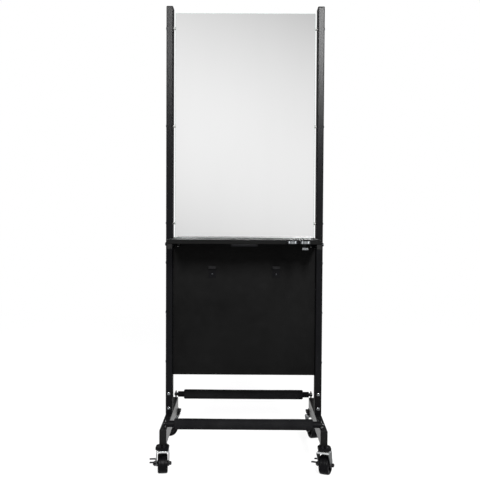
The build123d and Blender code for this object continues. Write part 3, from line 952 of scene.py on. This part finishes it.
@dataclass
class Footrests:
    """Two bars between the feet, each in a foam sleeve."""

    rings: int = 96
    sides: int = 72
    end_round: float = 5.0 * MM
    end_segments: int = 5
    ripple: float = 0.3 * MM
    ripples_per_metre: float = 34.0
    ripple_from: tuple[float, float, float] = (3.1, 0.7, 1.9)
    press: float = 0.7 * MM
    pressed_share: float = 0.7
    fill: float = 0.95

    def build(self) -> None:
        """Dresses the bars and models the sleeves."""
        dress(DRY_COAT, "front_footrest_tube", "rear_footrest_tube")
        dress(MOULDED_CAP, "footrest_spacers")
        heads_of("footrest_bolts", M8_HEAD, outward_x, BLACK_ZINC)
        for side in ("front", "rear"):
            self.sleeve(f"{side}_footrest_foam", f"{side}_footrest_tube")

    def sleeve(self, node: str, bar: str) -> None:
        """Models one sleeve: rounded ends, a bore on the bar and a surface pressed by shoes.

        Args:
            node: CAD node of the foam.
            bar: CAD node of the bar inside it.
        """
        low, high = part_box(node)
        bar_low, bar_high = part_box(bar)
        radius = (high.z - low.z) / 2
        bore = (bar_high.z - bar_low.z) / 2
        length = high.x - low.x
        half = length / 2
        piece = start_rod(f"{node}_sleeve", radius, length, self.sides)
        pick(piece, Pick.EDGES, lambda middle, along: with_z(along))
        bpy.ops.mesh.subdivide(number_cuts=self.rings)
        close_edit()
        limit = bore_out(piece, radius, bore)
        rim, end = 0.97 * radius, half - 0.05 * MM
        pick(
            piece, Pick.EDGES,
            lambda spot, along: across_z(along) and abs(spot.z) > end and spot.xy.length > rim,
        )
        bpy.ops.mesh.bevel(offset=self.end_round, segments=self.end_segments)
        close_edit()
        self.press_surface(piece, radius, limit, half)
        place = Matrix.Translation((low + high) / 2) @ Matrix.Rotation(math.pi / 2, 4, "Y")
        piece.data.transform(place)
        smooth(piece, degrees=50)
        seat(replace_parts(piece, node), "frame", "black_foam", FOAM)

    def press_surface(
        self, piece: bpy.types.Object, radius: float, limit: float, half: float
    ) -> None:
        """Moves the outer surface in a little, as foam is after being stood on.

        Args:
            piece: The sleeve, along Z.
            radius: Its outer radius.
            limit: Only points further out than this move.
            half: Half of its length.
        """
        for vertex in piece.data.vertices:
            out = vertex.co.xy.length
            if out < limit:
                continue
            spot = vertex.co * self.ripples_per_metre + Vector(self.ripple_from)
            wave = 0.5 + 0.5 * noise.noise(spot)
            along = max(0.0, 1 - (abs(vertex.co.z) / (self.pressed_share * half)) ** 2)
            up = max(0.0, -vertex.co.x / radius)
            inward = self.ripple * wave + self.press * along * up ** 2
            vertex.co.xy *= (out - inward) / out


class Corner(Enum):
    """Where a caster stands."""

    FRONT_LEFT = "front_left"
    FRONT_RIGHT = "front_right"
    REAR_LEFT = "rear_left"
    REAR_RIGHT = "rear_right"


@dataclass
class Casters:
    """Four swivel casters with side brakes."""

    wheel_radius: float = 37.5 * MM
    tyre_bore: float = 28.0 * MM
    tyre_width: float = 38.0 * MM
    tyre_sides: int = 96
    shoulder: float = 5.0 * MM
    shoulder_segments: int = 6
    tread_cuts: int = 17
    crown: float = 0.7 * MM
    groove: float = 0.6 * MM
    plate_easing_mm: float = 0.5
    fork_easing_mm: float = 0.9
    # Height below which the fork's faces take the darker zinc, painted shade on the legs.
    painted_shade_top: float = 86.0 * MM
    lever_easing_mm: float = 0.5
    tab_middle: float = 40.0 * MM
    tab_spread: float = 21.0 * MM
    rib_length: float = 10.0 * MM
    tab_top: float = 12.5 * MM
    rib_pitch: float = 4.0 * MM
    rib_size: float = 1.2 * MM
    rib_easing: float = 0.48 * MM
    rib_count: int = 4

    def build(self) -> None:
        """Dresses the fixed pieces, then builds each corner."""
        seat(eased("caster_plates", self.plate_easing_mm), "frame", "black_steel", POWDER_COAT)
        dress(BLACK_OXIDE, "caster_bolts", "caster_nuts")
        dress(ZINC_FASTENER, "kingpins")
        dress(NYLON_RING, "swivel_bearings")
        for corner in Corner:
            self.corner(corner.value)

    def corner(self, name: str) -> None:
        """Builds one caster's moving pieces.

        Args:
            name: The corner's name in the CAD nodes.
        """
        place = self.axle_place(name)
        self.fork(name)
        dress(BLACK_OXIDE, f"{name}_axle")
        dress(NYLON_HUB, f"{name}_hub")
        self.tyre(name, place)
        lever = eased(f"{name}_brake_lever", self.lever_easing_mm)
        seat(lever, f"{name}_brake", "black_lever", BLACK_OXIDE)
        self.ribs(name, place)

    def fork(self, name: str) -> None:
        """Eases one fork, bright at the crown and painted darker down its legs as shade.

        Args:
            name: The corner's name.
        """
        piece = eased(f"{name}_fork", self.fork_easing_mm)
        seat(piece, f"{name}_caster", "zinc_fork", ZINC_SHEET, SHADED_DUSTY_ZINC)
        # Faces at or below the height get the darker zinc: painted shade on the legs.
        second_finish(piece, lambda middle, normal: middle.z <= self.painted_shade_top)

    def axle_place(self, name: str) -> Matrix:
        """Gives the place of a wheel's middle with local X along its axle.

        Args:
            name: The corner's name.

        Returns:
            The place as a matrix.
        """
        joint = next(one for one in frame["joints"] if one["name"] == f"{name}_roll")
        axis = Vector(joint["axis"])
        turn = Matrix.Rotation(math.atan2(axis.y, axis.x), 4, "Z")
        return Matrix.Translation(joint["pos_m"]) @ turn

    def tyre(self, name: str, place: Matrix) -> None:
        """Models one tyre: crowned tread with two mould grooves and round shoulders.

        Args:
            name: The corner's name.
            place: Middle of the wheel, X along its axle.
        """
        piece = start_rod(f"{name}_tyre_tread", self.wheel_radius, self.tyre_width, self.tyre_sides)
        limit = bore_out(piece, self.wheel_radius, self.tyre_bore)
        rim = 0.98 * self.wheel_radius
        pick(piece, Pick.EDGES, lambda middle, along: middle.xy.length > rim and across_z(along))
        bpy.ops.mesh.bevel(offset=self.shoulder, segments=self.shoulder_segments)
        close_edit()
        mid = 1 * MM
        pick(
            piece, Pick.EDGES,
            lambda spot, along: with_z(along) and abs(spot.z) < mid and spot.xy.length > limit,
        )
        bpy.ops.mesh.subdivide(number_cuts=self.tread_cuts)
        close_edit()
        flat = self.tyre_width / 2 - self.shoulder + 0.1 * MM
        self.tread(piece, flat, limit)
        piece.data.transform(place @ Matrix.Rotation(math.pi / 2, 4, "Y"))
        smooth(piece, degrees=40)
        seat(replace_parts(piece, f"{name}_tyre"), f"{name}_wheel", "black_tyre", TYRE)

    def tread(self, piece: bpy.types.Object, flat: float, limit: float) -> None:
        """Crowns the tread and sinks a groove each side of its middle.

        Args:
            piece: The tyre, along Z.
            flat: Half width of the tread between the shoulders.
            limit: Only points further out than this move.
        """
        heights = {round(vertex.co.z, 5) for vertex in piece.data.vertices}
        rings = sorted(height for height in heights if abs(height) < flat)
        grooves = {rings[len(rings) // 4], rings[-1 - len(rings) // 4]}
        for vertex in piece.data.vertices:
            out = vertex.co.xy.length
            if out < limit:
                continue
            inward = self.crown * (vertex.co.z / (self.tyre_width / 2)) ** 2
            if round(vertex.co.z, 5) in grooves:
                inward += self.groove
            vertex.co.xy *= (out - inward) / out

    def ribs(self, name: str, place: Matrix) -> None:
        """Models the gripping ribs on the brake lever's two foot tabs.

        Args:
            name: The corner's name.
            place: Middle of the wheel, X along its axle.
        """
        size = Vector((self.rib_size, self.rib_length, self.rib_size))
        rib = start_block("rib", size, Vector())
        modify(rib, "BEVEL", width=self.rib_easing, segments=3, limit_method="NONE")
        smooth(rib)
        first = -self.tab_middle - (self.rib_count - 1) / 2 * self.rib_pitch
        spots = [
            Vector((first + step * self.rib_pitch, side * self.tab_spread, self.tab_top))
            for side in (-1, 1)
            for step in range(self.rib_count)
        ]
        places = [place @ Matrix.Translation(spot) for spot in spots]
        piece = copies(rib, places, f"{name}_tab_ribs")
        seat(piece, f"{name}_brake", "black_lever", BLACK_OXIDE)


@dataclass(frozen=True)
class Lamp:
    """A soft box that hangs at a place and faces a target, in metres and watts."""

    name: str
    place: tuple[float, float, float]
    target: tuple[float, float, float]
    size: tuple[float, float]
    power: float

    def hang(self) -> None:
        """Hangs the lamp."""
        light = bpy.data.lights.new(self.name, "AREA")
        light.shape = "RECTANGLE"
        light.size, light.size_y = self.size
        light.energy = self.power
        lamp = bpy.data.objects.new(self.name, light)
        bpy.context.scene.collection.objects.link(lamp)
        lamp.location = self.place
        ahead = Vector(self.target) - Vector(self.place)
        lamp.rotation_euler = ahead.to_track_quat("-Z", "Y").to_euler()


# The strips stand outside what the mirror shows and give the posts their grey upper ends.
LAMPS = (
    Lamp("overhead_softbox", (0.0, -1.4, 4.2), (0.0, 0.0, 0.9), (3.6, 2.4), 120.0),
    Lamp("left_softbox", (-3.6, -1.6, 2.0), (0.0, 0.0, 0.9), (1.6, 2.6), 40.0),
    Lamp("right_softbox", (3.6, -1.6, 2.0), (0.0, 0.0, 0.9), (1.6, 2.6), 50.0),
    Lamp("left_strip", (-1.24, -6.0, 3.5), (-0.3, 0.0, 1.6), (0.6, 1.7), 310.0),
    Lamp("right_strip", (1.24, -6.0, 3.5), (0.3, 0.0, 1.6), (0.6, 1.7), 800.0),
)


@dataclass
class Studio:
    """Pale floor, white surroundings, soft lamps and the photograph's camera.

    The floor's glow grows from near_glow to far_glow between near_to and far_from, and the floor is
    gone at gone_at. The walls are brightest towards wall_way and darken to wall_dim.
    """

    floor_size: float = 40.0
    near_glow: float = 0.82
    far_glow: float = 1.0
    near_to: float = 0.5
    far_from: float = 5.0
    gone_at: float = 16.0
    mirrored_floor: float = 0.8
    surround: float = 0.62
    wall_across: float = 0.42
    wall_lean: float = 0.3
    wall_foot: float = -0.05
    wall_way: tuple[float, float, float] = (-0.03, 1.0, 0.1)
    wall_edge: float = 0.972
    wall_dim: float = 0.5
    wall_bright: float = 0.965
    camera_place: tuple[float, float, float] = (-0.0048, -3.0645, 0.9867)
    tilt_down: float = 1.82
    pan_left: float = 0.246
    roll: float = -0.301
    lens: float = 55.865

    def build(self) -> None:
        """Builds the floor, the world, the lamps and the camera."""
        bpy.context.scene.view_settings.view_transform = "Standard"
        self.floor()
        self.world()
        for lamp in LAMPS:
            lamp.hang()
        self.camera()

    def rays(self, tree: bpy.types.NodeTree) -> bpy.types.Node:
        """Adds what tells seen, mirrored and see-through rays from light that falls on things.

        Args:
            tree: Tree of the floor or the world.

        Returns:
            Node whose value is 1 for such rays.
        """
        path = add_node(tree, "ShaderNodeLightPath")
        seen = add_node(
            tree, "ShaderNodeMath", {"operation": "MAXIMUM"},
            {0: (path, "Is Camera Ray"), 1: (path, "Is Glossy Ray")},
        )
        return add_node(
            tree, "ShaderNodeMath", {"operation": "MAXIMUM"},
            {0: (seen, 0), 1: (path, "Is Transmission Ray")},
        )

    def floor(self) -> None:
        """Lays the floor: white paint that glows, takes the shadow and runs out far away."""
        bpy.ops.object.select_all(action="DESELECT")
        bpy.ops.mesh.primitive_plane_add(size=self.floor_size)
        floor = bpy.context.active_object
        floor.name = "studio_floor"
        paint = bpy.data.materials.new("matt_white_floor_paint")
        paint.use_nodes = True
        tree = paint.node_tree
        tree.nodes.clear()
        place = add_node(tree, "ShaderNodeTexCoord")
        cloud = add_node(
            tree, "ShaderNodeTexNoise", {"Scale": per_metre(900.0)}, {"Vector": (place, "Object")}
        )
        white = add_node(
            tree, "ShaderNodeMix",
            {"data_type": "RGBA", 6: linear("#f6f6f6"), 7: linear("#fbfbfb")}, {0: (cloud, 0)},
        )
        matt = add_node(tree, "ShaderNodeBsdfDiffuse", links={"Color": (white, 2)})
        path = add_node(tree, "ShaderNodeLightPath")
        paleness = add_node(
            tree, "ShaderNodeMath",
            {"operation": "MULTIPLY_ADD", 1: self.mirrored_floor - 1.0, 2: 1.0},
            {0: (path, "Is Glossy Ray")},
        )
        glow = add_node(tree, "ShaderNodeEmission", links={"Strength": (paleness, 0)})
        reach = add_node(
            tree, "ShaderNodeVectorMath", {"operation": "LENGTH"}, {0: (place, "Object")}
        )
        fade = add_node(
            tree, "ShaderNodeMapRange",
            {"interpolation_type": "SMOOTHSTEP",
             "From Min": self.near_to, "From Max": self.far_from,
             "To Min": self.near_glow, "To Max": self.far_glow},
            {"Value": (reach, "Value")},
        )
        share = add_node(
            tree, "ShaderNodeMath", {"operation": "MULTIPLY"},
            {0: (self.rays(tree), 0), 1: (fade, 0)},
        )
        both = add_node(
            tree, "ShaderNodeMixShader", links={0: (share, 0), 1: (matt, 0), 2: (glow, 0)}
        )
        gone = add_node(
            tree, "ShaderNodeMapRange",
            {"interpolation_type": "SMOOTHSTEP",
             "From Min": self.far_from, "From Max": self.gone_at},
            {"Value": (reach, "Value")},
        )
        clear = add_node(tree, "ShaderNodeBsdfTransparent")
        ends = add_node(
            tree, "ShaderNodeMixShader", links={0: (gone, 0), 1: (both, 0), 2: (clear, 0)}
        )
        add_node(tree, "ShaderNodeOutputMaterial", links={"Surface": (ends, 0)})
        floor.data.materials.append(paint)

    def world(self) -> None:
        """Sets the white surroundings, which darken away from the walls that the mirrors face."""
        world = bpy.data.worlds.new("studio_surroundings")
        world.use_nodes = True
        bpy.context.scene.world = world
        tree = world.node_tree
        tree.nodes.clear()
        place = add_node(tree, "ShaderNodeTexCoord")
        parts = add_node(tree, "ShaderNodeSeparateXYZ", links={0: (place, "Generated")})
        either = add_node(tree, "ShaderNodeMath", {"operation": "ABSOLUTE"}, {0: (parts, "Y")})
        across = add_node(
            tree, "ShaderNodeMath", {"operation": "MULTIPLY", 1: self.wall_across},
            {0: (parts, "X")},
        )
        leaning = add_node(
            tree, "ShaderNodeMath", {"operation": "MULTIPLY_ADD", 1: self.wall_lean},
            {0: (parts, "X"), 2: (parts, "Z")},
        )
        level = add_node(
            tree, "ShaderNodeMath", {"operation": "MAXIMUM", 1: self.wall_foot}, {0: (leaning, 0)}
        )
        folded = add_node(
            tree, "ShaderNodeCombineXYZ", links={0: (across, 0), 1: (either, 0), 2: (level, 0)}
        )
        way = add_node(
            tree, "ShaderNodeVectorMath", {"operation": "NORMALIZE"}, {0: (folded, 0)}
        )
        facing = add_node(
            tree, "ShaderNodeVectorMath",
            {"operation": "DOT_PRODUCT", 1: Vector(self.wall_way).normalized()},
            {0: (way, 0)},
        )
        wall = add_node(
            tree, "ShaderNodeMapRange",
            {"From Min": self.wall_edge, "From Max": 1.0,
             "To Min": self.wall_dim, "To Max": self.wall_bright},
            {"Value": (facing, "Value")},
        )
        path = add_node(tree, "ShaderNodeLightPath")
        paper = {"Color": linear("#ffffff")}
        white = add_node(tree, "ShaderNodeBackground", {**paper, "Strength": 1.0})
        mirrored = add_node(tree, "ShaderNodeBackground", paper, {"Strength": (wall, 0)})
        fill = add_node(tree, "ShaderNodeBackground", {**paper, "Strength": self.surround})
        seen = add_node(
            tree, "ShaderNodeMixShader",
            links={0: (path, "Is Glossy Ray"), 1: (white, 0), 2: (mirrored, 0)},
        )
        both = add_node(
            tree, "ShaderNodeMixShader", links={0: (self.rays(tree), 0), 1: (fill, 0), 2: (seen, 0)}
        )
        add_node(tree, "ShaderNodeOutputWorld", links={"Surface": (both, 0)})

    def camera(self) -> None:
        """Sets the camera where the photograph was taken from."""
        tilt, pan, roll = map(math.radians, (self.tilt_down, self.pan_left, self.roll))
        level = Vector((-math.sin(pan), math.cos(pan), 0))
        ahead = level * math.cos(tilt) - Vector((0, 0, math.sin(tilt)))
        right = Vector((math.cos(pan), math.sin(pan), 0))
        up = right.cross(ahead)
        across = right * math.cos(roll) - up * math.sin(roll)
        upright = right * math.sin(roll) + up * math.cos(roll)
        turn = Matrix((across, upright, -ahead)).transposed().to_4x4()
        data = bpy.data.cameras.new("photograph_camera")
        data.lens = self.lens
        camera = bpy.data.objects.new("photograph_camera", data)
        bpy.context.scene.collection.objects.link(camera)
        camera.matrix_world = Matrix.Translation(self.camera_place) @ turn
        bpy.context.scene.camera = camera


def main() -> None:
    """Builds the station's sub-assemblies in order, then the studio."""
    logging.basicConfig(level=logging.INFO, format="%(name)s: %(message)s")
    for assembly in (Frame(), MirrorUnit(), Shelves(), Trim(), Footrests(), Casters(), Studio()):
        log.info("building %s", type(assembly).__name__)
        assembly.build()


if __name__ == "__main__":
    main()
